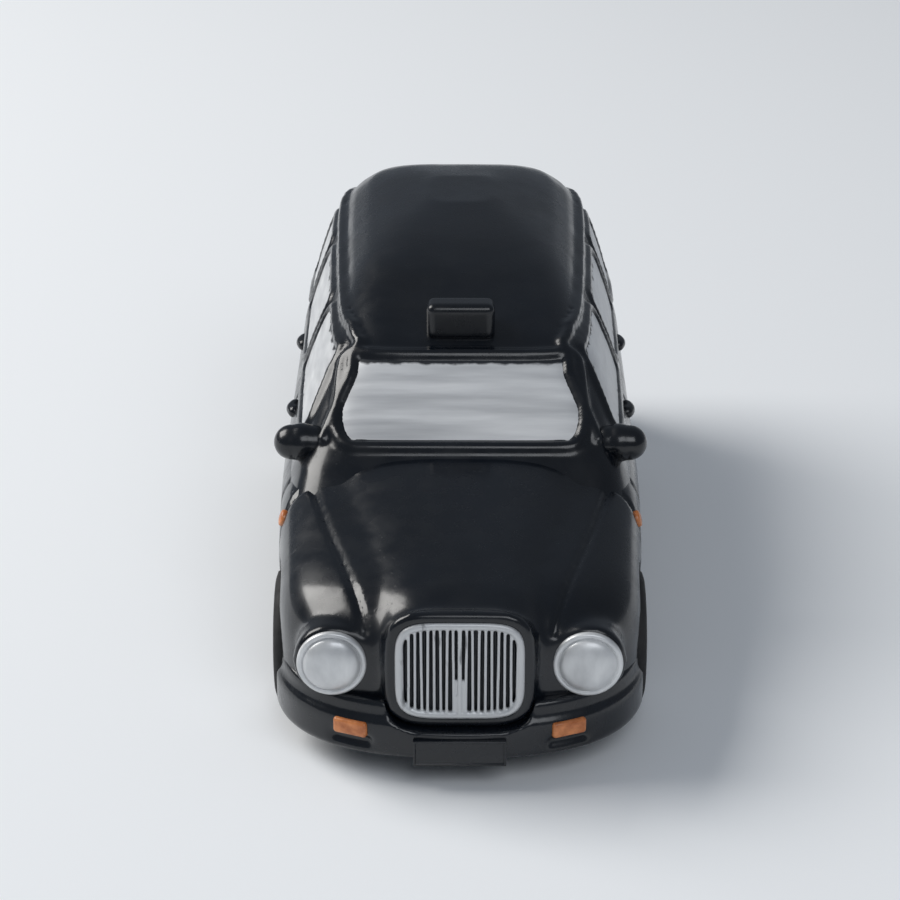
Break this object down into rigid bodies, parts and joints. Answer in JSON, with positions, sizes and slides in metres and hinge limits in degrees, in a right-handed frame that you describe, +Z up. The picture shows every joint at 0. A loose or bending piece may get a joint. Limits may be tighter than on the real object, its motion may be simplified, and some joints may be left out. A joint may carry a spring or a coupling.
{
  "type": "toy taxi cab",
  "caption": "Small black London-style taxi cab model with silver windows, cast body and base plate, rolling on two turning axles.",
  "frame": {"origin": "on the floor under the middle of the bounding box, where the tyres stand", "axes": "+Z up, +Y along the car from its front to its rear, +X to the car's own left"},
  "size_m": [0.0574, 0.14, 0.054],
  "materials": {
    "black_paint": "gloss",
    "silver_paint": "satin",
    "amber_paint": "gloss",
    "red_paint": "gloss",
    "base": "satin",
    "steel": "satin",
    "wheel_silver": "satin",
    "tyre_rubber": "matte"
  },
  "bodies": {
    "cab": {"body_shell": "black_paint", "base_plate": "base", "front_base_screw": "steel", "rear_base_screw": "steel", "windscreen": "silver_paint", "rear_window": "silver_paint", "front_door_window_left": "silver_paint", "front_door_window_right": "silver_paint", "rear_door_window_left": "silver_paint", "rear_door_window_right": "silver_paint", "quarter_window_left": "silver_paint", "quarter_window_right": "silver_paint", "grille": "silver_paint", "headlight_left": "silver_paint", "headlight_right": "silver_paint", "front_bumper": "black_paint", "rear_bumper": "black_paint", "front_number_plate": "black_paint", "rear_number_plate": "black_paint", "indicator_left": "amber_paint", "indicator_right": "amber_paint", "side_repeater_left": "amber_paint", "side_repeater_right": "amber_paint", "tail_light_left": "red_paint", "tail_light_right": "red_paint", "mirror_left": "black_paint", "mirror_right": "black_paint", "front_door_handle_left": "black_paint", "front_door_handle_right": "black_paint", "rear_door_handle_left": "black_paint", "rear_door_handle_right": "black_paint", "roof_sign": "black_paint"},
    "front_wheelset": {"front_axle": "steel", "front_wheel_left": "wheel_silver", "front_wheel_right": "wheel_silver", "front_tyre_left": "tyre_rubber", "front_tyre_right": "tyre_rubber"},
    "rear_wheelset": {"rear_axle": "steel", "rear_wheel_left": "wheel_silver", "rear_wheel_right": "wheel_silver", "rear_tyre_left": "tyre_rubber", "rear_tyre_right": "tyre_rubber"}
  },
  "joints": [
    {"name": "front_axle_spin", "type": "hinge", "parent": "cab", "child": "front_wheelset", "pos_m": [0, -0.0418, 0.01], "axis": [1, 0, 0], "continuous": true},
    {"name": "rear_axle_spin", "type": "hinge", "parent": "cab", "child": "rear_wheelset", "pos_m": [0, 0.0437, 0.01], "axis": [1, 0, 0], "continuous": true}
  ]
}
